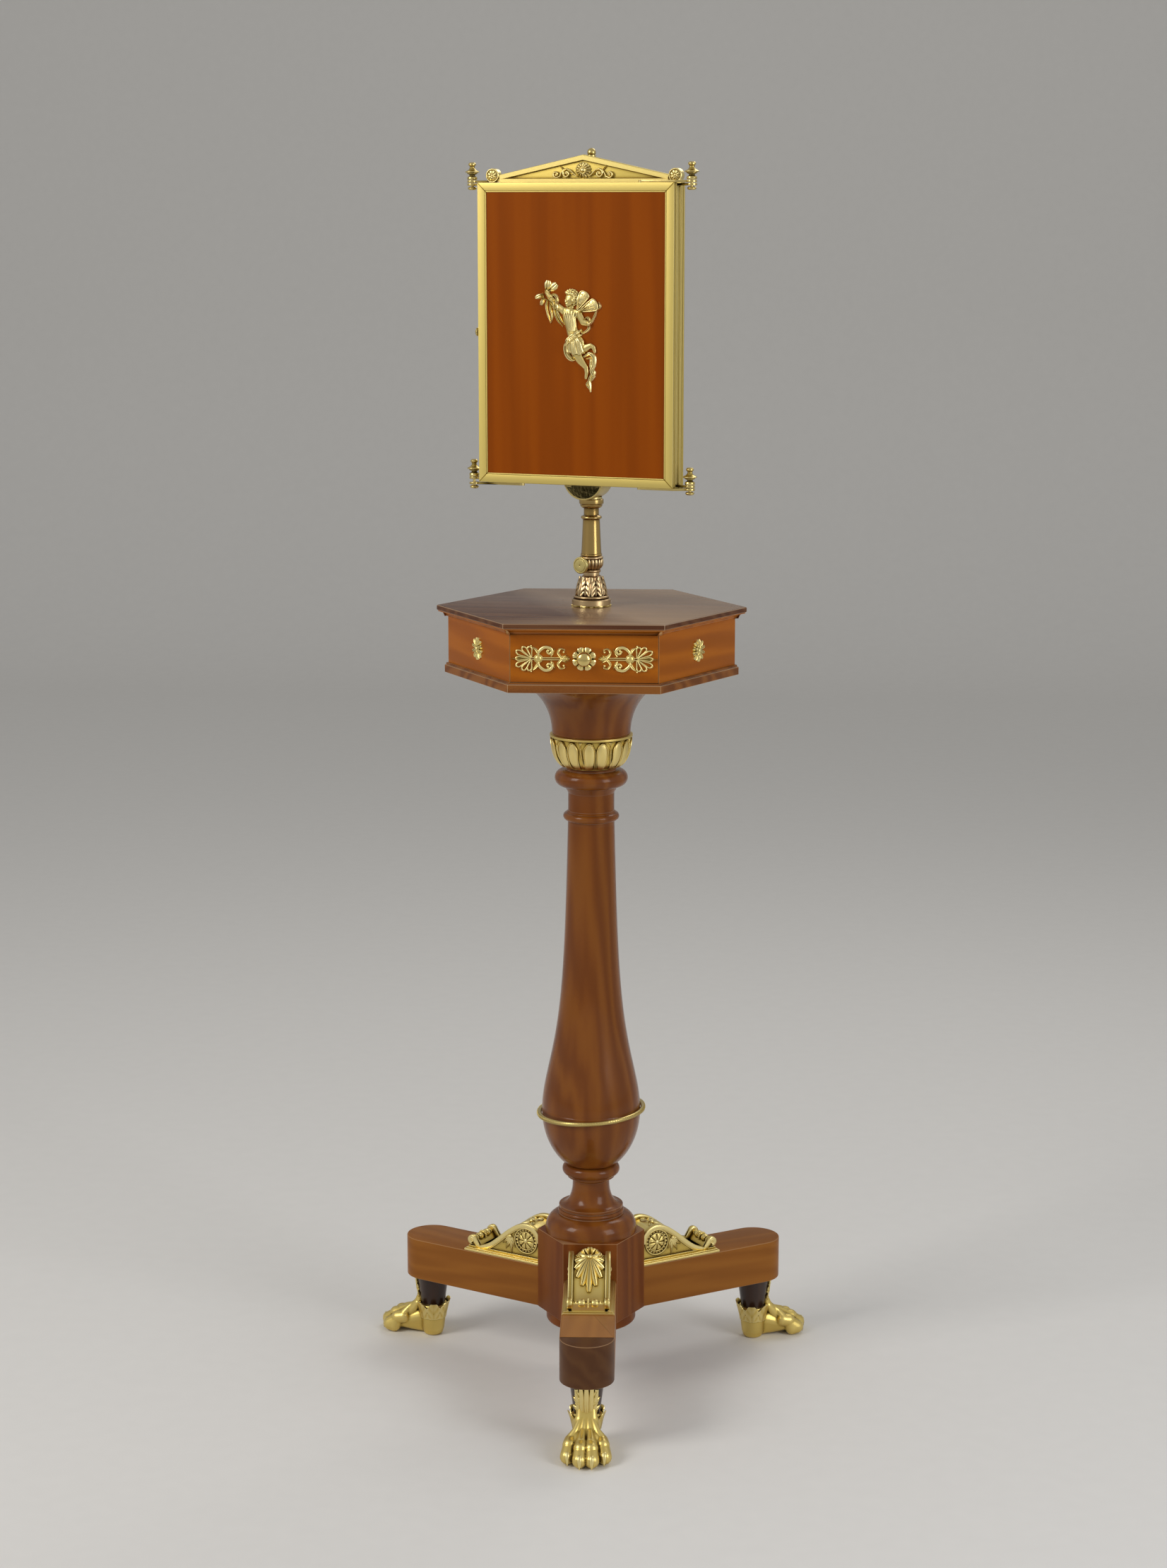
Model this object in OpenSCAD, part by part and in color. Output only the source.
// Dressing stand: a hexagonal drawer table on a turned column with three paw feet, and above it
// three hinged looking-glass leaves that fold into a flat box and turn on a sliding post.

/* [Legs and hub] */
// Column axis to the middle of a foot peg
leg_reach = 262; // [240:2:290]
// Width of a leg beam
leg_w = 71; // [60:1:73]
// Height of a leg beam
leg_h = 57.5; // [50:0.5:70]
// Underside of the leg beams above the floor
leg_bottom = 91; // [80:1:100]
// Length of the tenon that joins a beam to the hub
tenon_l = 22; // [14:1:30]
// Width of that tenon
tenon_w = 24; // [16:1:30]
// Side of the hexagonal hub
hub_side = 73; // [73:1:80]
// Height of the hub
hub_h = 112; // [100:1:130]
// Radius of the turned disc under the hub
boss_r = 61; // [50:1:62]
// Height of that disc
boss_h = 16; // [8:1:18]
// Turn of the legs and hub against the front of the table
base_turn = 2; // [-5:0.5:5]

/* [Feet] */
// Radius of a foot peg where it meets the beam
peg_top_r = 23; // [20:0.5:26]
// Radius of a foot peg at its lower end
peg_end_r = 12; // [10:0.5:14]
// Lower end of a foot peg above the floor
peg_end = 9; // [6:1:14]
// Thickness of the gilt shoe round the peg
shoe_wall = 3.5; // [2.5:0.5:5]
// Height of the shoe's leaf collar
shoe_h = 46; // [40:1:52]
// Peg middle to the tip of a middle toe
toe_reach = 81; // [74:1:92]
// Middle of an outer toe, measured sideways
toe_spread = 23.5; // [21:0.5:27]
// Radius of a toe tip
toe_r = 10.5; // [9:0.5:12]
// Radius of a knuckle
knuckle_r = 11; // [9:0.5:12]

/* [Scroll brackets] */
// Length of a bracket from the hub face
bracket_l = 122; // [110:1:135]
// Width of its base plate
bracket_w = 69; // [60:1:70]
// Thickness of its base plate
bracket_base = 4.5; // [3:0.5:6]
// Radius of the large volute against the hub
volute_r = 24; // [21:0.5:26]
// Radius of the small volute at the outer end
volute_end_r = 7.5; // [6:0.5:9]
// Thickness of a side plate
cheek_t = 6.5; // [5:0.5:8]
// Width of the bracket over its side plates
cheek_span = 56; // [50:1:58]

/* [Column] */
// Height of the turned base above the hub
base_h = 96; // [90:1:105]
// Radius of the base disc
base_r = 62; // [56:1:63]
// Largest radius of the pear-shaped shaft
bulb_r = 66.5; // [60:0.5:70]
// Height of that widest place above the base
bulb_at = 74; // [66:1:80]
// Radius of the shaft's slender upper part
shaft_r = 30.2; // [28:0.2:33]
// Length of the shaft with its neck and torus
shaft_l = 546; // [500:2:600]
// Radius of the torus at the top of the shaft
neck_torus_r = 48.5; // [44:0.5:52]
// Section radius of the loose brass ring
ring_wire_r = 3.6; // [3:0.1:4.5]
// Slant of the loose ring
ring_tilt = 3.5; // [0:0.5:4]
// Height of the gilt cup
cup_h = 46; // [42:1:52]
// Radius of the cup's rim
cup_r = 55; // [50:1:58]
// Height of the trumpet capital above the cup
capital_h = 79; // [70:1:90]
// Radius of the capital under the table
capital_r = 120; // [100:1:130]

/* [Table] */
// Corner radius of the table top
top_r = 204; // [198:1:212]
// Thickness of the top board
top_t = 7; // [6:0.5:9]
// Height of the moulding under the top
moulding_h = 7.5; // [6:0.5:9]
// How far the corners of the top stand out past the frieze
top_overhang = 15; // [11:0.5:18]
// Height of the frieze and of the drawer front
frieze_h = 62; // [56:1:80]
// Thickness of the frieze panels and the drawer front
panel_t = 15; // [12:1:18]
// How far the corners of the bottom board stand out past the frieze
lip_overhang = 5; // [3:0.5:9]
// Thickness of the bottom board
bottom_t = 13; // [11:1:16]
// How far the drawer tray's sides stand in from the ends of its front
tray_inset = 15.5; // [14:0.5:24]
// Gap between the drawer tray and the tube that guides the rod
tray_gap = 9.7; // [7:0.1:25]
// Height of the drawer tray
tray_h = 50; // [40:1:52]
// Thickness of the tray's sides
tray_t = 7; // [5:0.5:9]
// Thickness of the tray's bottom
tray_floor = 4; // [3:0.5:6]
// Radius of the rosettes on the frieze
rosette_r = 14.5; // [12:0.5:18]

/* [Post] */
// Radius of the sliding rod
rod_r = 7; // [6:0.25:8]
// Length of rod below the sleeve
rod_below = 325; // [300:5:340]
// Height of the post foot, washer to collar
foot_h = 42; // [38:1:48]
// Radius of the post foot's disc
foot_r = 25.4; // [23:0.2:27]
// Height of the reeded clamp collar
collar_h = 21.5; // [19:0.5:24]
// Length of the tapered sleeve with its cup
sleeve_l = 74; // [68:1:84]
// Radius of the thin pole behind the leaves
pole_r = 4.5; // [4:0.1:5.5]
// Radius of the ball at the pole's top
ball_r = 5.6; // [5:0.2:7]
// Radius of the thumb screw's head
screw_head_r = 11; // [9:0.5:12]
// Direction of the thumb screw, from +X
screw_turn = -122; // [-150:1:-100]

/* [Looking glass] */
// Width of a leaf
leaf_w = 268; // [240:2:290]
// Height of a leaf
leaf_h = 381; // [340:1:420]
// Width of the brass band round a leaf
band_w = 12; // [10:0.5:15]
// Thickness of the front and of the back leaf
leaf_t = 12; // [11:0.5:13]
// Thickness of the middle leaf
middle_t = 13; // [12:0.5:14]
// How much shorter the middle leaf is, at each end
middle_short = 3.8; // [3.6:0.1:5]
// How much lower the back leaf hangs
back_drop = 3.3; // [3.3:0.1:5]
// Free space between two closed leaves
leaf_gap = 1.5; // [1:0.1:2]
// Free space between the back leaf and the pole
pole_gap = 13.5; // [11:0.5:16]
// Thickness of the glass
glass_t = 3; // [2:0.5:3.5]
// Pintle axis to the edge of a leaf
pin_out = 19; // [17:0.5:22]
// Radius of a pintle's shank
pin_r = 2; // [1.8:0.1:2.4]
// Radius of a strap's eye
eye_r = 6.4; // [5.6:0.2:7]
// Thickness of a strap
strap_t = 3; // [2.4:0.2:3.2]
// Length of a strap on the leaf
strap_l = 46; // [36:1:54]
// Height of the pediment
pediment_h = 35; // [30:1:42]
// Thickness of the pediment
pediment_t = 9.5; // [8:0.5:10.5]
// Height of the winged figure
figure_h = 150; // [120:1:170]
// Half width of the yoke under the leaves
yoke_half = 26; // [24:0.5:30]
// Turn of the closed leaves, seen from above
mirror_turn = -18.8; // [-40:0.2:40]

/* [Clearances] */
// Free space between pieces that slide or swing past each other
gap = 0.5; // [0.4:0.05:0.8]
// Radial clearance of a shaft in its bore
fit = 0.06; // [0.03:0.01:0.1]
// Clearance of a joint that is glued or screwed
seat = 0.15; // [0.1:0.05:0.3]

/* [Hidden] */
$fn = 64;

wood = [0.45, 0.19, 0.08];
wood_light = [0.58, 0.28, 0.1];
dark_wood = [0.16, 0.08, 0.06];
gilt = [0.85, 0.66, 0.25];
brass = [0.72, 0.58, 0.28];
bronze = [0.5, 0.38, 0.2];
silver = [0.8, 0.84, 0.86];
box_wood = [0.7, 0.52, 0.34];
tiny = 0.01;
big = 1000;

// Heights, floor upwards
hub_top = leg_bottom + hub_h;
leg_top = leg_bottom + leg_h;
shaft_z = hub_top + base_h;
cup_z = shaft_z + shaft_l;
capital_z = cup_z + cup_h;
box_z = capital_z + capital_h;
frieze_z = box_z + bottom_t;
moulding_z = frieze_z + frieze_h;
top_z = moulding_z + moulding_h + top_t;
washer_t = 2.5;
foot_z = top_z + washer_t;
collar_z = foot_z + foot_h;
sleeve_z = collar_z + collar_h + gap;
cup_top = sleeve_z + sleeve_l;
yoke_t = 2.5;
yoke_z = cup_top + gap;
yoke_drop = 16.5;
back_z = yoke_z + yoke_t + yoke_drop;
leaf_z = back_z + back_drop;
leaf_top = leaf_z + leaf_h;

// Corner radii of the frieze and of the bottom board
frieze_r = top_r - top_overhang;
lip_r = frieze_r + lip_overhang;

// Flats of the hexagons
function flat(r) = r * cos(30);
hub_flat = flat(hub_side);

// Leaves, front faces measured forwards from the pole
back_y = -(pole_r + pole_gap + leaf_t);
middle_y = back_y - leaf_gap - middle_t;
front_y = middle_y - leaf_gap - leaf_t;
pin_x = leaf_w / 2 + pin_out;
left_pin_y = back_y - leaf_gap / 2;
right_pin_y = middle_y - leaf_gap / 2;
lip_t = 1.2;
groove = 3;

// Toes: distance out, sideways, tip radius, knuckle distance
toe_x = toe_reach - toe_r;
outer_back = 12;
toes = [[toe_x - outer_back, toe_spread], [toe_x, toe_spread / 3], [toe_x, -toe_spread / 3],
    [toe_x - outer_back, -toe_spread]];

// The column axis stands where the toes leave the origin in the middle of their bounding box
leg_turns = [0, 120, 240];
toe_points = [for (turn = leg_turns, t = toes)
    let (a = turn + base_turn - 90, r = leg_reach + t[0])
    [r * cos(a) - t[1] * sin(a), r * sin(a) + t[1] * cos(a)]];
function middle(i) = (max([for (q = toe_points) q[i]]) + min([for (q = toe_points) q[i]])) / 2;
axis_x = -middle(0);
axis_y = -middle(1);

function curve(cx, cy, rx, ry, a0, a1, n) =
    [for (i = [0:n]) [cx + rx * cos(a0 + (a1 - a0) * i / n), cy + ry * sin(a0 + (a1 - a0) * i / n)]];
function teardrop(l, w, n = 12) = [for (i = [0:n * 2 - 1])
    let (a = 360 * i / (n * 2)) [l * (1 - cos(a)) / 2, w / 2 * sin(a) * pow(sin(a / 2), 1.2)]];

// Band of a spiral: radius, angle and width run from their first to their second value
function between(a, b, s) = a + (b - a) * s;
function polar(r, a) = [r * cos(a), r * sin(a)];
function spiral(r0, r1, a0, a1, w0, w1, n) = concat(
    [for (i = [0:n]) let (s = i / n) polar(between(r0 + w0 / 2, r1 + w1 / 2, s), between(a0, a1, s))],
    [for (i = [n:-1:0]) let (s = i / n) polar(between(r0 - w0 / 2, r1 - w1 / 2, s), between(a0, a1, s))]);

module at_axis() {
    translate([axis_x, axis_y, 0]) children();
}

module on_leg(turn) {
    at_axis() rotate([0, 0, turn + base_turn - 90]) children();
}

module at_mirror() {
    at_axis() rotate([0, 0, mirror_turn]) children();
}

module hexagon(r, h) {
    cylinder(r = r, h = h, $fn = 6);
}

module lathe(points) {
    rotate_extrude() polygon(points);
}

// Legs, pegs and paws
module leg(turn) {
    color(wood) on_leg(turn) translate([0, 0, leg_bottom]) {
        translate([hub_flat, -leg_w / 2, 0]) cube([leg_reach - hub_flat, leg_w, leg_h]);
        translate([leg_reach, 0, 0]) cylinder(r = leg_w / 2, h = leg_h);
        translate([hub_flat - tenon_l, -tenon_w / 2, leg_h / 4])
            cube([tenon_l + 1, tenon_w, leg_h / 2]);
    }
}

module peg_cone(extra) {
    translate([0, 0, peg_end - extra])
        cylinder(r1 = peg_end_r + extra, r2 = peg_top_r + extra, h = leg_bottom - peg_end + extra);
}

module foot_pegs() {
    color(dark_wood) for (turn = leg_turns) on_leg(turn) translate([leg_reach, 0, 0]) peg_cone(0);
}

function peg_r(z) = peg_end_r + (peg_top_r - peg_end_r) * (z - peg_end) / (leg_bottom - peg_end);

module paw(turn) {
    collar_r = peg_r(shoe_h) + shoe_wall;
    color(gilt) on_leg(turn) translate([leg_reach, 0, 0]) difference() {
        union() {
            lathe([[0, 0], [peg_r(0), 0], [peg_r(0) + 2.5, 2], [peg_r(peg_end) + shoe_wall, peg_end],
                [collar_r, shoe_h], [0, shoe_h]]);
            for (i = [0:6]) rotate([0, 0, 60 + 40 * i])
                translate([collar_r - 2.5, 0, shoe_h - 3]) sphere(r = 4.5);
            instep();
            for (t = toes) toe(t[0], t[1]);
            front_leaf();
        }
        peg_cone(seat);
        translate([0, 0, leg_bottom - seat]) cylinder(r = big, h = big);
        translate([0, 0, -big]) cylinder(r = big, h = big);
    }
}

module toe(x, y) {
    hull() {
        translate([x - 22, y * 0.8, knuckle_r + 11]) sphere(r = knuckle_r * 0.9, $fn = 20);
        translate([x, y, toe_r - 1]) sphere(r = toe_r, $fn = 20);
    }
}

module instep() {
    hull() {
        translate([10, 0, 0]) cylinder(r = 15, h = 8, $fn = 24);
        translate([16, 0, 44]) sphere(r = 7, $fn = 16);
        for (side = [-1, 1]) translate([toe_x - 24, side * toe_spread * 0.75, 12]) sphere(r = 10, $fn = 20);
    }
}

// Leaf that climbs the front of the peg up to the beam
module front_leaf() {
    leaf_wall = shoe_wall + 0.7;
    leaf = [[-9, 30], [-14, 44], [-17, 56], [-15, 64], [-18, 72], [-14, 80], [-16, 88], [16, 88], [14, 80],
        [18, 72], [15, 64], [17, 56], [14, 44], [9, 30]];
    intersection() {
        cylinder(r1 = peg_r(0) + leaf_wall, r2 = peg_r(leg_bottom) + leaf_wall, h = leg_bottom);
        rotate([90, 0, 90]) linear_extrude(60) polygon(leaf);
    }
    hull() {
        translate([peg_r(leg_bottom) + leaf_wall - 5, 0, leg_bottom - 6]) sphere(r = 3, $fn = 12);
        translate([peg_r(30) + 5, 0, 36]) sphere(r = 6, $fn = 16);
    }
}

module front_leg() { leg(0); }
module right_leg() { leg(120); }
module left_leg() { leg(240); }
module front_paw() { paw(0); }
module right_paw() { paw(120); }
module left_paw() { paw(240); }

// Scroll brackets
cheek_end_x = bracket_l - volute_end_r - 1;
volute_x = volute_r + 1;
volute_z = bracket_base + volute_r;
function slope_z(x) = bracket_base + 3.5
    + (2 * volute_r - 3.5) * (1 + cos(180 * (x - volute_x) / (cheek_end_x - 8 - volute_x))) / 2;

// Side plate: a quarter of the large volute, then the long slope
module cheek_outline(drop) {
    polygon(concat([[0, bracket_base - drop / 10]],
        curve(volute_x, volute_z, volute_x, volute_r - drop, 180, 90, 10),
        [for (i = [1:16]) let (x = volute_x + (cheek_end_x - 8 - volute_x) * i / 16)
            [x, max(slope_z(x) - drop, bracket_base + 0.5)]],
        [[cheek_end_x - 6, bracket_base - drop / 10]]));
}

module volute_end(r) {
    translate([cheek_end_x, bracket_base + r + 1.5]) circle(r = r);
    translate([cheek_end_x - 12, bracket_base]) square([12, 4]);
}

module upright(t) {
    rotate([90, 0, 0]) linear_extrude(t, center = true) children();
}

module bracket(turn) {
    color(gilt) on_leg(turn) translate([hub_flat, 0, leg_top]) {
        translate([0, -bracket_w / 2, 0]) cube([bracket_l, bracket_w, bracket_base - 1.5]);
        translate([0, -bracket_w / 2 + 2, 0]) cube([bracket_l - 2, bracket_w - 4, bracket_base]);
        for (side = [-1, 1]) translate([0, side * (cheek_span - cheek_t) / 2, 0]) {
            upright(cheek_t) {
                cheek_outline(0);
                volute_end(volute_end_r);
            }
            translate([0, side * cheek_t / 2, 0]) cheek_relief(side);
        }
        upright(cheek_span - cheek_t) difference() {
            cheek_outline(3);
            translate([-1, -1]) cheek_outline(8);
        }
        anthemion();
        roller();
    }
}

// Rosette and leaf drops on the outside of a side plate
module cheek_relief(side) {
    translate([volute_x, 0, volute_z]) rotate([90, 0, 0]) {
        linear_extrude(2.4, center = true) difference() {
            circle(r = volute_r - 4);
            circle(r = volute_r - 8);
        }
        linear_extrude(4, center = true) for (i = [0:7]) rotate(45 * i)
            translate([4, 0]) polygon(teardrop(11, 7));
        cylinder(r = 3.5, h = 6, center = true);
    }
    for (i = [0:2]) translate([volute_x + volute_r + 3, 0, volute_z + 1]) rotate([90, 0, 0])
        linear_extrude(3, center = true) rotate(28 * i - 95) translate([-1, 0])
            polygon(teardrop(23 - 3 * i, 7));
}

// Palmette on the curved front of a bracket
module anthemion() {
    lift = volute_r - 4.5;
    translate([volute_x, 0, volute_z]) rotate([0, 43, 0]) translate([0, 0, lift]) {
        linear_extrude(5) {
            for (i = [-3:3]) rotate(26 * i) polygon(teardrop(26 - 2 * abs(i), 7));
            circle(r = 4);
        }
    }
    // Shell that rises between the volutes and the hub
    translate([1, 0, volute_z]) rotate([0, 90, 0]) linear_extrude(5) {
        for (i = [-2:2]) rotate(180 + 24 * i) polygon(teardrop(volute_z - 5 - 2 * abs(i), 13));
        translate([-2, -cheek_span / 2 + 1]) square([8, cheek_span - 2]);
    }
}

module roller() {
    half = cheek_span / 2 - cheek_t;
    translate([cheek_end_x, 0, bracket_base + volute_end_r + 1.5]) rotate([90, 0, 0]) {
        cylinder(r = 2.5, h = 2 * half, center = true);
        cylinder(r = 6, h = 4, center = true);
        for (side = [-1, 1]) {
            translate([0, 0, side * half * 0.4]) sphere(r = 5.8);
            translate([0, 0, side * half * 0.75]) cylinder(r = 4.2, h = 3, center = true);
        }
    }
}

module front_bracket() { bracket(0); }
module right_bracket() { bracket(120); }
module left_bracket() { bracket(240); }

// Hub with mortises for the leg tenons
module leg_hub() {
    color(wood) at_axis() translate([0, 0, leg_bottom]) difference() {
        rotate([0, 0, base_turn]) hexagon(hub_side, hub_h);
        for (turn = leg_turns) rotate([0, 0, turn + base_turn - 90])
            translate([hub_flat - tenon_l - seat, -tenon_w / 2 - seat, leg_h / 4 - seat])
                cube([tenon_l + 1, tenon_w + 2 * seat, leg_h / 2 + 2 * seat]);
    }
}

module hub_boss() {
    color(wood) at_axis() translate([0, 0, leg_bottom - boss_h]) {
        lathe(concat([[0, 0]], curve(boss_r - 5, 5, 5, 5, -90, 0, 6), [[boss_r, boss_h], [0, boss_h]]));
    }
}

// Column
module column_base() {
    bead_z = 28.8;
    cove_z = 37;
    cove_h = 30;
    color(wood) at_axis() translate([0, 0, hub_top]) lathe(concat(
        [[0, 0], [base_r, 0]],
        curve(base_r - 18, 4, 18, 21, 0, 90, 10),
        curve(base_r - 20, bead_z, 3, 3, -90, 90, 8),
        [[base_r - 20, 33], [base_r - 18.5, 33.5], [base_r - 18.5, cove_z]],
        [for (i = [0:10]) let (a = 9 * i) [base_r - 21 - 16 * sin(a), cove_z + cove_h * (1 - cos(a))]],
        [[base_r - 37, cove_z + cove_h + 5], [base_r - 34, base_h - 20.5], [base_r - 30, base_h - 20],
            [base_r - 30, base_h - 17]],
        curve(base_r - 31, base_h - 9, 8, 8, -80, 80, 10),
        [[base_r - 30, base_h], [0, base_h]]));
}

swell = 0.27;
function pear_r(s) = shaft_r + (bulb_r - shaft_r) / (1 + pow(s / swell, 2)) - 1.6 * pow(s, 3);

module column_shaft() {
    neck_z = shaft_l - 76;
    torus_z = shaft_l - 14;
    low = 58;
    color(wood) at_axis() translate([0, 0, shaft_z]) difference() {
        lathe(concat(
            [[0, 0]],
            [for (i = [0:9]) let (a = low - low * i / 9)
                [bulb_r * cos(a), bulb_at - bulb_at * sin(a) / sin(low)]],
            [for (i = [1:18]) let (s = i / 18) [pear_r(s), bulb_at + (neck_z - bulb_at) * s]],
            curve(shaft_r + 2, neck_z + 10, 5, 5, -90, 90, 10),
            [[shaft_r + 3, neck_z + 15.5], [shaft_r + 0.5, neck_z + 18], [shaft_r + 0.5, torus_z - 20],
                [shaft_r + 5, torus_z - 12]],
            curve(neck_torus_r - 11, torus_z, 11, 11, -80, 80, 12),
            [[shaft_r + 3, torus_z + 11], [shaft_r + 3, shaft_l], [0, shaft_l]]));
        translate([0, 0, rod_end - shaft_z - 20]) cylinder(r = rod_r + 1.5, h = big);
    }
}

module column_ring() {
    color(brass) at_axis() translate([0, 0, shaft_z + bulb_at]) rotate([0, -ring_tilt, 0])
        rotate_extrude() translate([bulb_r + seat + ring_wire_r + 0.1, 0]) circle(r = ring_wire_r);
}

// Cup and capital share the spigot that centres one in the other
spigot_r = 30;
module gilt_cup() {
    leaves = 16;
    color(gilt) at_axis() translate([0, 0, cup_z]) difference() {
        union() {
            cup_body(0);
            for (i = [0:leaves - 1]) rotate([0, 0, 360 / leaves * i]) intersection() {
                cup_body(1.3);
                rotate([90, 0, 90]) linear_extrude(cup_r) polygon(concat([[-4, 2]],
                    curve(0, cup_h - 19, 7.5, 9, 180, 0, 10), [[4, 2]]));
            }
        }
        translate([0, 0, -1]) cylinder(r = spigot_r + seat, h = cup_h + 2);
    }
}

module cup_body(extra) {
    lathe(concat([[0, 0], [spigot_r + 4, 0]],
        curve(spigot_r + 3, cup_h - 7, cup_r - spigot_r - 6 + extra, cup_h - 9 + extra, -88, 0, 12),
        extra > 0 ? [[0, cup_h - 7]] : [[cup_r, cup_h - 6.5], [cup_r, cup_h - 1], [cup_r - 1.5, cup_h],
            [0, cup_h]]));
}

module capital() {
    color(wood) at_axis() translate([0, 0, cup_z]) difference() {
        lathe(concat([[0, 0], [spigot_r, 0], [spigot_r, cup_h], [cup_r - 3, cup_h]],
            [for (i = [0:14]) let (a = 90 * i / 14)
                [capital_r - (capital_r - cup_r + 3) * cos(a), cup_h + (capital_h - 5) * sin(a)]],
            [[capital_r, cup_h + capital_h], [0, cup_h + capital_h]]));
        translate([0, 0, -1]) cylinder(r = rod_r + 1.5, h = big);
    }
}

// Hexagonal table
module bottom_board() {
    color(wood) at_axis() translate([0, 0, box_z]) difference() {
        union() {
            hexagon(lip_r, bottom_t - 2.5);
            hexagon(lip_r - 2.5, bottom_t);
        }
        translate([0, 0, -1]) cylinder(r = rod_r + 1.5, h = bottom_t + 2);
    }
}

// One mitred side of the frieze, its face towards turn
module mitred_side(turn, height) {
    half = frieze_r / 2;
    back_half = half - panel_t * tan(30);
    face_y = -flat(frieze_r);
    rotate([0, 0, turn]) linear_extrude(height) polygon([[-half, face_y], [half, face_y],
        [back_half, panel_t + face_y], [-back_half, panel_t + face_y]]);
}

module frieze(turn) {
    color(wood_light) at_axis() translate([0, 0, frieze_z]) mitred_side(turn, frieze_h);
}

module frieze_right_front() { frieze(60); }
module frieze_right_back() { frieze(120); }
module frieze_back() { frieze(180); }
module frieze_left_back() { frieze(240); }
module frieze_left_front() { frieze(300); }

guide_r = rod_r + 4;
front_back_y = panel_t - flat(frieze_r);
tray_w = frieze_r - 2 * tray_inset;
tray_l = -front_back_y - guide_r - tray_gap;
module drawer_runners() {
    runner_t = 8;
    color(box_wood) at_axis() for (side = [-1, 1])
        translate([side * (tray_w / 2 + gap + runner_t / 2) - runner_t / 2, front_back_y + runner_t,
            frieze_z]) cube([runner_t, tray_l, tray_h / 2]);
}

module rod_guide() {
    color(brass) at_axis() translate([0, 0, frieze_z]) difference() {
        cylinder(r = guide_r, h = frieze_h);
        translate([0, 0, -1]) cylinder(r = rod_r + fit, h = frieze_h + 2);
    }
}

module top_board() {
    color(wood) at_axis() translate([0, 0, moulding_z + moulding_h]) difference() {
        hexagon(top_r, top_t);
        translate([0, 0, -1]) cylinder(r = rod_r + 1.5, h = top_t + 2);
    }
}

// Moulding that steps out from the frieze to the edge of the top
module top_moulding() {
    inner = frieze_r - panel_t / cos(30);
    drop = top_r - frieze_r;
    step = 2;
    profile = concat([[inner, 0], [frieze_r + step, 0], [frieze_r + step, 1.5]],
        [for (i = [0:6]) let (a = 15 * i) [top_r - 2 * step - (drop - 3.5 * step) * cos(a),
            2 + (moulding_h - 3.5) * sin(a)]],
        [[top_r - step, moulding_h - 1.5], [top_r - step, moulding_h], [inner, moulding_h]]);
    color(wood) at_axis() translate([0, 0, moulding_z]) rotate_extrude($fn = 6) polygon(profile);
}

// Flower with a round boss
module flower(r, petals, t, boss) {
    linear_extrude(t) for (i = [0:petals - 1]) rotate(360 / petals * i)
        translate([r * 0.3, 0]) polygon(teardrop(r * 0.7, r * 0.62));
    cylinder(r = r * 0.7, h = t * 0.8);
    cylinder(r = boss, h = t + 1.5);
}

module side_rosettes() {
    color(gilt) at_axis() for (turn = [60, 120, 180, 240, 300]) rotate([0, 0, turn])
        translate([0, -flat(frieze_r), frieze_z + frieze_h / 2]) rotate([90, 0, 0])
            flower(rosette_r, 8, rosette_r * 0.21, rosette_r * 0.28);
}

// Post foot, collar and thumb screw
module toothed_washer() {
    teeth = 12;
    color(brass) at_axis() translate([0, 0, top_z]) difference() {
        linear_extrude(washer_t) polygon([for (i = [0:teeth * 2 - 1])
            polar(i % 2 == 0 ? foot_r + 0.8 : foot_r - 3, 180 * i / teeth)]);
        translate([0, 0, -1]) cylinder(r = rod_r + 1.5, h = washer_t + 2);
    }
}

module foot_body(extra) {
    bell_r = 17.2;
    lathe(concat([[0, 0], [foot_r, 0], [foot_r, 6.5], [foot_r - 1, 7.5], [foot_r - 3.5, 8]],
        curve(foot_r - 4, 10, 1.8, 1.8, -60, 90, 5),
        [for (i = [0:8]) let (a = 90 * i / 8) [bell_r + extra + (foot_r - 7 - bell_r) * (1 - sin(a)),
            12 + 9 * (1 - cos(a))]],
        [[14 + extra, 33], [13 + extra, 36], [10.7, 37.5], [10.7, foot_h], [0, foot_h]]));
}

module post_foot() {
    leaves = 8;
    color(bronze) at_axis() translate([0, 0, foot_z]) difference() {
        union() {
            foot_body(0);
            for (i = [0:leaves - 1]) rotate([0, 0, 360 / leaves * (i + 0.5)]) intersection() {
                foot_body(1.1);
                rotate([90, 0, 90]) linear_extrude(foot_r) polygon(concat([[-5.5, 12]],
                    curve(0, 29, 4, 8, 180, 0, 8), [[5.5, 12]]));
            }
        }
        translate([0, 0, -1]) cylinder(r = rod_r + 0.8, h = foot_h + 2);
    }
}

screw_z = collar_z + collar_h * 0.52;
screw_r = 2.6;
module clamp_collar() {
    reeds = 18;
    color(bronze) at_axis() translate([0, 0, collar_z]) difference() {
        lathe(concat([[0, 0]], curve(10.7, 2, 1.6, 2, -90, 90, 6),
            [for (i = [0:8]) let (a = 90 * i / 8) [10.7 + 4 * sin(a), 4.5 + 9 * (1 - cos(a))]],
            [[14.5, collar_h - 4.5]],
            curve(13.8, collar_h - 2, 1.9, 1.9, -90, 90, 6), [[0, collar_h]]));
        translate([0, 0, -1]) cylinder(r = rod_r + fit, h = collar_h + 2);
        for (i = [0:reeds - 1]) rotate([0, 0, screw_turn + 360 / reeds * (i + 0.5)]) translate([15.4, 0, 6])
            cylinder(r = 1, h = collar_h - 11);
        rotate([0, 0, screw_turn]) translate([0, 0, screw_z - collar_z]) rotate([0, 90, 0])
            cylinder(r = screw_r + fit, h = 40);
    }
}

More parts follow.
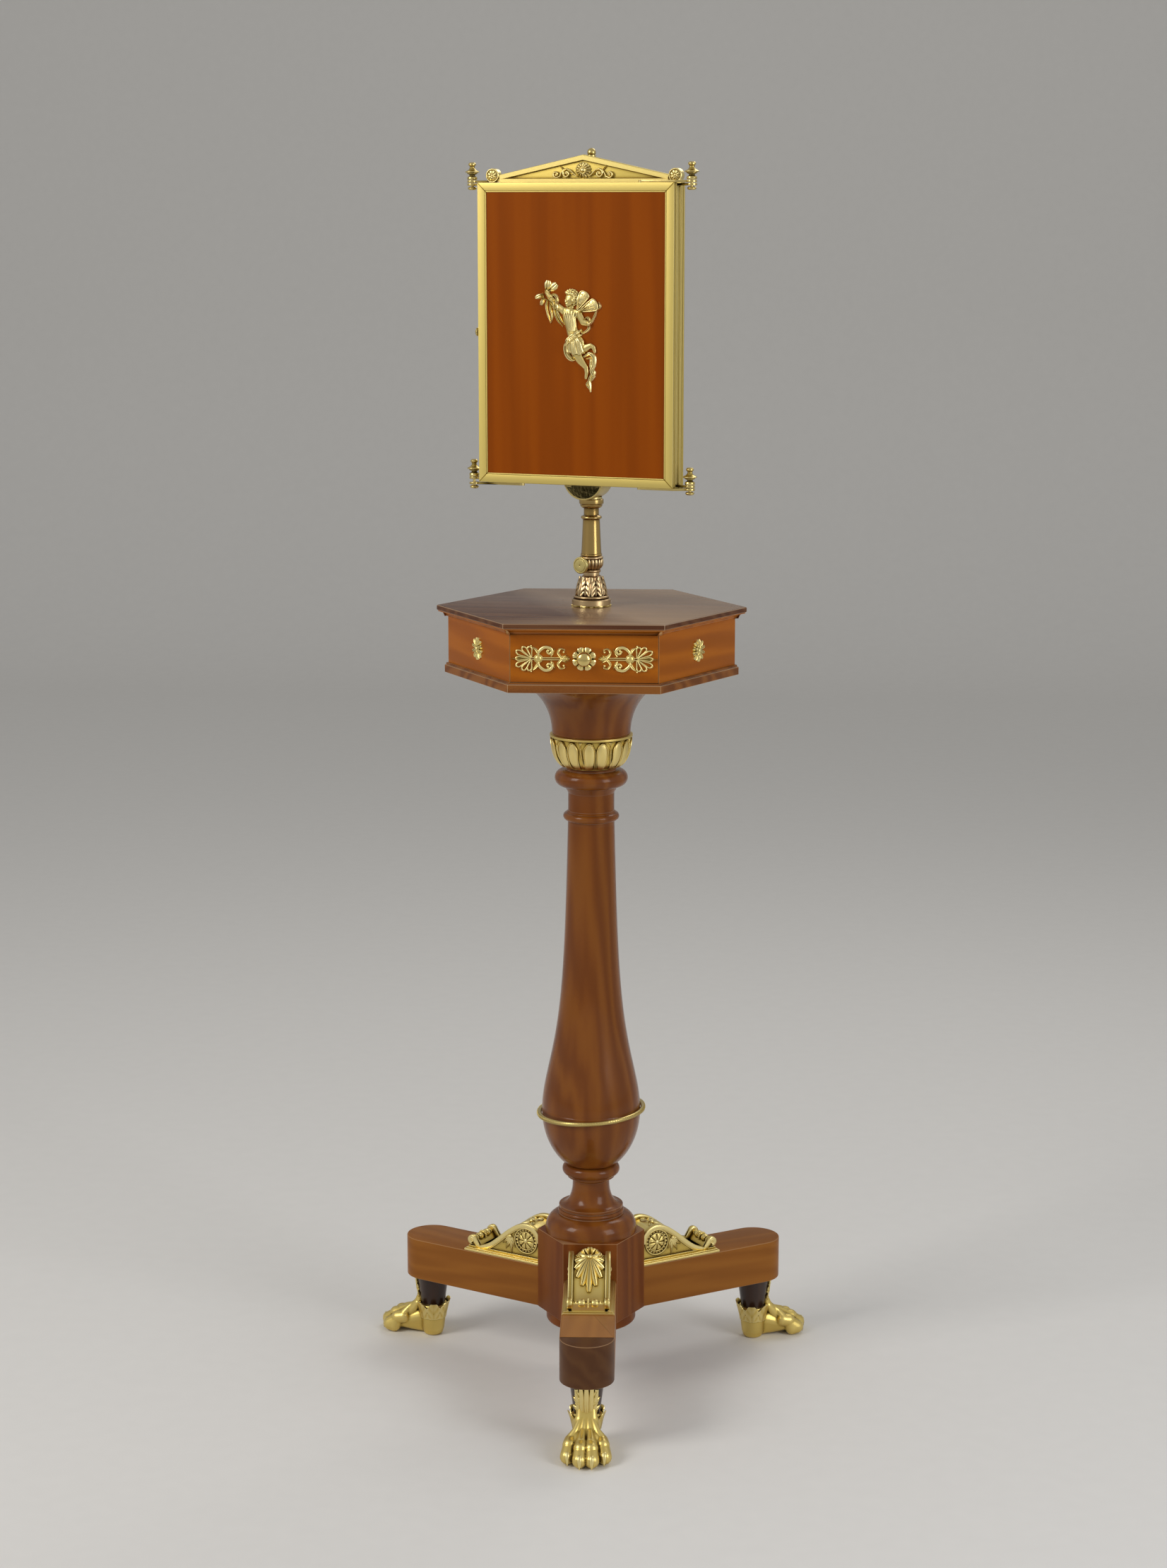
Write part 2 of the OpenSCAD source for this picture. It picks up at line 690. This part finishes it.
module thumb_screw() {
    color(brass) at_axis() translate([0, 0, screw_z]) rotate([0, 0, screw_turn]) rotate([0, 90, 0]) {
        translate([0, 0, rod_r + gap]) cylinder(r = screw_r, h = 16);
        translate([0, 0, 17]) cylinder(r = 5, h = 3.5);
        translate([0, 0, 20]) lathe([[0, 0], [8, 0], [screw_head_r, 2.5], [screw_head_r, 5.5],
            [screw_head_r - 0.8, 6.3], [0, 6.3]]);
    }
}

// Sliding post
rod_end = sleeve_z - rod_below;
ball_z = leaf_top + pediment_h - 0.5;
module post_rod() {
    color(bronze) at_axis() {
        translate([0, 0, rod_end]) cylinder(r = rod_r, h = cup_top - 2 - rod_end);
        translate([0, 0, cup_top - 2 - tiny]) cylinder(r = pole_r, h = ball_z - cup_top + 2);
    }
}

module post_sleeve() {
    ring_z = sleeve_l - 24;
    color(bronze) at_axis() translate([0, 0, sleeve_z]) difference() {
        lathe(concat([[0, 0], [14.1, 0], [11.2, ring_z - 5], [11.2, ring_z - 2.5]],
            curve(11.8, ring_z, 2, 2, -90, 90, 6),
            [[9.9, ring_z + 3], [9.9, ring_z + 12]],
            curve(10, ring_z + 17, 4.6, 5, -90, 0, 6),
            [[15.2, ring_z + 17.5], [16, ring_z + 18], [16, sleeve_l], [0, sleeve_l]]));
        translate([0, 0, -1]) cylinder(r = rod_r + seat, h = sleeve_l - 1 + seat);
        cylinder(r = pole_r + seat, h = big);
    }
}

module pole_ball() {
    color(gilt) at_axis() translate([0, 0, ball_z]) difference() {
        union() {
            translate([0, 0, ball_r * 0.6]) sphere(r = ball_r);
            translate([0, 0, -3]) cylinder(r = pole_r + 1.2, h = 4);
        }
        translate([0, 0, -4]) cylinder(r = pole_r + seat, h = 4 + seat);
    }
}

// Drawer
drawer_face_y = -flat(frieze_r);
module drawer_front() {
    color(wood_light) at_axis() translate([0, 0, frieze_z + gap]) intersection() {
        mitred_side(0, frieze_h - 2 * gap);
        translate([-frieze_r / 2, drawer_face_y - 1, 0]) linear_extrude(frieze_h) polygon([[gap, 0],
            [frieze_r - gap, 0], [frieze_r - gap, 1], [frieze_r - gap - panel_t * tan(30) - 1, panel_t + 2],
            [gap + panel_t * tan(30) + 1, panel_t + 2], [gap, 1]]);
    }
}

module drawer_tray() {
    color(box_wood) at_axis() translate([-tray_w / 2, front_back_y, frieze_z + gap]) difference() {
        cube([tray_w, tray_l, tray_h]);
        translate([tray_t, tray_t, tray_floor]) cube([tray_w - 2 * tray_t, tray_l - 2 * tray_t, tray_h]);
    }
}

module scroll(r) {
    polygon(spiral(r, r * 0.3, 0, 400, 2.2, 2.6, 26));
}

module drawer_mount() {
    unit = (frieze_r - 3) / 186;
    color(gilt) at_axis() translate([0, drawer_face_y, frieze_z + frieze_h / 2]) rotate([90, 0, 0])
        for (side = [0, 1]) mirror([side, 0, 0]) {
            linear_extrude(3.2) scale(unit) {
                translate([17, 0]) polygon(teardrop(18, 11));
                translate([28, -2]) square([43, 4]);
                for (flip = [0, 1]) mirror([0, flip]) {
                    translate([33, 0]) rotate(78) polygon(teardrop(13, 5));
                    translate([47, 9.5]) rotate(250) scroll(6);
                    translate([45, 1]) rotate(20) polygon(teardrop(16, 4));
                    for (i = [1:3]) translate([67, 0]) rotate(24 * i) polygon(teardrop(23 - 3 * i, 6.5));
                    translate([57, 2]) rotate(70) polygon(teardrop(9, 5));
                }
                translate([67, 0]) polygon(teardrop(26, 6.5));
            }
            translate([58 * unit, 0, 0]) cylinder(r = 5 * unit, h = 4);
        }
}

module drawer_knob() {
    boss_r = 9.2;
    color(gilt) at_axis() translate([0, drawer_face_y, frieze_z + frieze_h / 2]) rotate([90, 0, 0]) {
        flower(15.3, 8, 2.8, 6);
        translate([0, 0, 2]) lathe(concat([[0, 0], [6, 0], [6, 3], [boss_r, 5]],
            curve(0, 5, boss_r, 5, 0, 90, 8)));
    }
}

// Leaves: frame with a groove, panel and glass in it
module leaf_frame(y, z, h, t) {
    color(gilt) at_mirror() translate([-leaf_w / 2, y, z]) difference() {
        cube([leaf_w, t, h]);
        translate([band_w, -1, band_w]) cube([leaf_w - 2 * band_w, t + 2, h - 2 * band_w]);
        translate([band_w - groove, lip_t, band_w - groove])
            cube([leaf_w - 2 * (band_w - groove), t - 2 * lip_t, h - 2 * (band_w - groove)]);
    }
}

// A sheet in the groove, from y1 to y2 behind the leaf's front face
module leaf_sheet(y, z, h, y1, y2) {
    inset = band_w - groove + seat;
    at_mirror() translate([inset - leaf_w / 2, y + y1 + seat / 2, z + inset])
        cube([leaf_w - 2 * inset, y2 - y1 - seat, h - 2 * inset]);
}

module strap_plate(x1, side, y_leaf, y_pin, z) {
    width = 7;
    translate([0, 0, z]) difference() {
        union() {
            linear_extrude(strap_t) polygon([[side * x1, y_leaf - width / 2],
                [side * leaf_w / 2, y_leaf - width / 2], [side * (pin_x - 2), y_pin - 3],
                [side * (pin_x - 2), y_pin + 3], [side * leaf_w / 2, y_leaf + width / 2],
                [side * x1, y_leaf + width / 2]]);
            translate([side * x1, y_leaf, 0]) cylinder(r = width / 2 + 0.4, h = strap_t);
            translate([side * pin_x, y_pin, 0]) cylinder(r = eye_r, h = strap_t);
        }
        translate([side * pin_x, y_pin, -1]) cylinder(r = pin_r + fit, h = strap_t + 2);
    }
}

strap_x = leaf_w / 2 - strap_l;
middle_top = leaf_top - middle_short;
middle_z = leaf_z + middle_short;
// Pintle: low end of its shank at z, finial above the upper eye
module pintle(z_low, z_high) {
    unit = pin_r / 2;
    button = concat([[0, 0], [2.5, 0]], curve(2.6, 2.2, 3.2, 2.2, -80, 60, 6), [[2.2, 4], [0, 4]]);
    finial = [[0, 0], [6, 0], [6.6, 2], [6, 4], [3.6, 5], [3.6, 6.5], [6.5, 7.6], [6.5, 8.6], [9.1, 9.6],
        [9.1, 10.6], [5, 12.8], [3.2, 15], [3.2, 17], [4.9, 18.6], [4.9, 20.4], [3.6, 21.8], [0, 22.2]];
    translate([0, 0, z_low - gap - 1.5 - tiny]) cylinder(r = pin_r, h = z_high - z_low + 3 * gap + 3);
    translate([0, 0, z_low - gap - 1.5 - 4 * unit]) lathe(button * unit);
    translate([0, 0, z_high + gap]) lathe(finial * unit);
}

module back_frame() { leaf_frame(back_y, back_z, leaf_h + back_drop, leaf_t); }
module back_panel() {
    color(wood) leaf_sheet(back_y, back_z, leaf_h + back_drop, lip_t + glass_t, leaf_t - lip_t);
}
module back_glass() {
    color(silver) leaf_sheet(back_y, back_z, leaf_h + back_drop, lip_t, lip_t + glass_t);
}
module middle_frame() { leaf_frame(middle_y, middle_z, leaf_h - 2 * middle_short, middle_t); }
module middle_panel() {
    color(wood) leaf_sheet(middle_y, middle_z, leaf_h - 2 * middle_short, lip_t, middle_t - lip_t - glass_t);
}
module middle_glass() {
    color(silver) leaf_sheet(middle_y, middle_z, leaf_h - 2 * middle_short, middle_t - lip_t - glass_t,
        middle_t - lip_t);
}
module front_frame() { leaf_frame(front_y, leaf_z, leaf_h, leaf_t); }
module front_panel() {
    color(wood_light) leaf_sheet(front_y, leaf_z, leaf_h, lip_t, leaf_t - lip_t - glass_t);
}
module front_glass() {
    color(silver) leaf_sheet(front_y, leaf_z, leaf_h, leaf_t - lip_t - glass_t, leaf_t - lip_t);
}

back_mid = back_y + leaf_t / 2;
middle_mid = middle_y + middle_t / 2;
front_mid = front_y + leaf_t / 2;

// The upper strap of the back leaf is an angle on the leaf's edge, clear of the pediment
module back_straps() {
    drop = 30;
    color(brass) at_mirror() {
        strap_plate(strap_x, -1, back_mid, left_pin_y, back_z - strap_t);
        difference() {
            union() {
                translate([0, 0, leaf_top]) linear_extrude(strap_t) polygon([[-leaf_w / 2, back_mid - 3.5],
                    [2 - pin_x, left_pin_y - 3], [2 - pin_x, left_pin_y + 3], [-leaf_w / 2, back_mid + 3.5]]);
                translate([-leaf_w / 2 - strap_t, back_mid - 3.5, leaf_top - drop])
                    cube([strap_t, 7, drop + strap_t]);
                translate([-pin_x, left_pin_y, leaf_top]) cylinder(r = eye_r, h = strap_t);
            }
            translate([-pin_x, left_pin_y, leaf_top - 1]) cylinder(r = pin_r + fit, h = strap_t + 2);
        }
    }
}

module middle_straps() {
    color(brass) at_mirror() for (side = [-1, 1]) {
        y_pin = side < 0 ? left_pin_y : right_pin_y;
        strap_plate(strap_x, side, middle_mid, y_pin, middle_top);
        strap_plate(strap_x, side, middle_mid, y_pin, middle_z - strap_t);
    }
}
module front_straps() {
    color(brass) at_mirror() {
        strap_plate(strap_x, 1, front_mid, right_pin_y, leaf_top);
        strap_plate(strap_x, 1, front_mid, right_pin_y, leaf_z - strap_t);
    }
}

module back_pins() {
    color(brass) at_mirror() translate([-pin_x, left_pin_y, 0]) {
        pintle(middle_top, leaf_top + strap_t);
        pintle(back_z - strap_t, middle_z);
    }
}
module middle_pins() {
    color(brass) at_mirror() translate([pin_x, right_pin_y, 0]) {
        pintle(middle_top, leaf_top + strap_t);
        pintle(leaf_z - strap_t, middle_z);
    }
}

// Pediment and its mounts
roundel_r = 9;
roundel_x = leaf_w / 2 - 2 * roundel_r;
patera_z = pediment_h * 0.44;
module pediment() {
    rake = 6;
    slope = (pediment_h - 10) / (roundel_x);
    outline = [[-roundel_x, 0], [roundel_x, 0], [roundel_x, 10], [0, pediment_h], [-roundel_x, 10]];
    recess = [[-roundel_x + 34, 5.2], [roundel_x - 34, 5.2], [0, pediment_h - rake - 1.5]];
    color(gilt) at_mirror() translate([0, back_y + pediment_t, leaf_top]) rotate([90, 0, 0]) difference() {
        linear_extrude(pediment_t) polygon(outline);
        translate([0, 0, pediment_t - 2]) linear_extrude(3) polygon(recess);
    }
}

module pediment_mounts() {
    color(gilt) at_mirror() translate([0, back_y, leaf_top]) {
        for (side = [-1, 1]) translate([side * (roundel_x + roundel_r + seat), pediment_t, roundel_r])
            rotate([90, 0, 0]) intersection() {
                union() {
                    cylinder(r = roundel_r, h = pediment_t + 1.5);
                    translate([0, 0, pediment_t + 1]) flower(6.5, 8, 1.2, 1.8);
                }
                translate([-side * seat, 0, 0]) cylinder(r = big, h = big);
            }
        translate([0, 2, patera_z]) rotate([90, 0, 0]) {
            flower(10, 12, 3.4, 3.5);
            for (side = [0, 1]) mirror([side, 0, 0]) linear_extrude(2.2) {
                translate([18, -1]) rotate(150) scroll(5);
                translate([30, -3]) rotate(30) mirror([0, 1]) scroll(4);
                translate([8, -3]) square([34, 2]);
            }
        }
    }
}

// Yoke under the back leaf, and the eye that holds the pole near the top
module yoke() {
    r = (pow(yoke_half, 2) + pow(yoke_drop + yoke_t, 2)) / (2 * (yoke_drop + yoke_t));
    front = back_y + 1;
    depth = 8 - front;
    color(brass) at_mirror() difference() {
        union() {
            translate([0, 8, yoke_z + r]) rotate([90, 0, 0]) linear_extrude(depth) difference() {
                circle(r = r);
                circle(r = r - yoke_t);
                translate([-big, yoke_drop + yoke_t - r]) square(2 * big);
            }
            translate([0, 0, yoke_z]) cylinder(r = 14, h = yoke_t);
            translate([0, 0, yoke_z]) cylinder(r = 9.6, h = 10);
            for (side = [-1, 1]) translate([side * (yoke_half - 5) - 5, front, back_z - yoke_t])
                cube([10, leaf_t - 1, yoke_t]);
        }
        translate([0, 0, yoke_z - 1]) cylinder(r = pole_r + fit, h = 20);
        translate([0, 0, yoke_z - big]) cylinder(r = big, h = big);
    }
}

module pole_eye() {
    eye_h = band_w - 3;
    color(brass) at_mirror() translate([0, 0, leaf_top - band_w + 1]) difference() {
        union() {
            cylinder(r = pole_r + 3, h = eye_h);
            translate([-4, back_y + leaf_t, 0]) cube([8, pole_gap + 1, eye_h]);
            translate([-13, back_y + leaf_t, 0]) cube([26, 2.5, eye_h]);
        }
        translate([0, 0, -1]) cylinder(r = pole_r + fit, h = eye_h + 2);
    }
}

// Front leaf: winged figure and pull
module limb(a, b, ra, rb) {
    hull() {
        translate(a) sphere(r = ra, $fn = 14);
        translate(b) sphere(r = rb, $fn = 14);
    }
}

module front_figure() {
    unit = figure_h / 150;
    at_figure() difference() {
        scale([unit, 0.55 * unit, unit]) {
            translate([-4, 0, 55]) sphere(r = 10.5, $fn = 20);
            limb([-8, 0, 36], [-8, 0, 18], 11, 8.5);
            limb([-8, 0, 18], [1, 0, 2], 8.5, 10);
            limb([-16, 0, 39], [-31, 0, 50], 5, 4.5);
            limb([-31, 0, 50], [-42, 0, 63], 4.5, 3);
            limb([-42, 0, 63], [-33, 0, 75], 4, 7);
            limb([-42, 0, 60], [-54, 0, 55], 3, 5);
            limb([-42, 0, 52], [-35, 0, 26], 7, 3);
            limb([5, 0, 37], [13, 0, 21], 5, 4.5);
            limb([13, 0, 21], [23, 0, 19], 5, 3.5);
            limb([23, 0, 19], [36, 0, 47], 4.5, 3);
            limb([-5, 0, 0], [1, 0, -20], 9, 6.5);
            limb([1, 0, -20], [18, 0, -35], 6.5, 3.5);
            limb([18, 0, -35], [20, 0, -47], 3.5, 2.5);
            limb([5, 0, 0], [7, 0, -15], 8, 6);
            limb([7, 0, -15], [25, 0, -6], 5, 3.5);
            limb([25, 0, -6], [31, 0, -12], 4, 3);
            limb([-20, 0, 40], [-18, 0, 24], 3, 4);
            limb([-18, 0, 24], [-8, 0, 10], 4, 3);
            limb([-12, 0, -2], [-8, 0, -22], 3.5, 4);
            limb([-8, 0, -22], [22, 0, -20], 4, 4);
            limb([22, 0, -20], [27, 0, -46], 5, 4);
            limb([27, 0, -46], [24, 0, -64], 4, 2);
        }
        translate([-big, 0, -big]) cube(2 * big);
    }
    at_figure() rotate([90, 0, 0]) linear_extrude(2.4) scale(unit) {
        translate([3, 38]) rotate(48) polygon(teardrop(36, 20));
        translate([5, 36]) rotate(20) polygon(teardrop(30, 15));
        translate([14, 19]) rotate(-60) polygon(teardrop(14, 12));
    }
}

// Middle of the figure, at its hips, on the panel's face
module at_figure() {
    color(gilt) at_mirror() translate([0, front_y + lip_t + seat / 2, leaf_z + leaf_h * 0.475]) children();
}

module pull_knob() {
    color(brass) at_mirror() translate([-leaf_w / 2, front_mid, leaf_z + leaf_h * 0.505]) rotate([0, -90, 0])
        lathe([[0, 0], [2.2, 0], [2.2, 1.2], [5, 1.6], [5.8, 2.8], [5, 4.4], [1.6, 5.4], [0.8, 6.6], [0, 7]]);
}

front_leg();
right_leg();
left_leg();
foot_pegs();
front_paw();
right_paw();
left_paw();
front_bracket();
right_bracket();
left_bracket();
leg_hub();
hub_boss();
column_base();
column_shaft();
column_ring();
gilt_cup();
capital();
bottom_board();
frieze_right_front();
frieze_right_back();
frieze_back();
frieze_left_back();
frieze_left_front();
drawer_runners();
rod_guide();
top_board();
top_moulding();
side_rosettes();
toothed_washer();
post_foot();
clamp_collar();
thumb_screw();
post_rod();
post_sleeve();
pole_ball();
drawer_front();
drawer_tray();
drawer_mount();
drawer_knob();
back_frame();
back_panel();
back_glass();
back_straps();
back_pins();
pediment();
pediment_mounts();
yoke();
pole_eye();
middle_frame();
middle_panel();
middle_glass();
middle_straps();
middle_pins();
front_frame();
front_panel();
front_glass();
front_straps();
front_figure();
pull_knob();
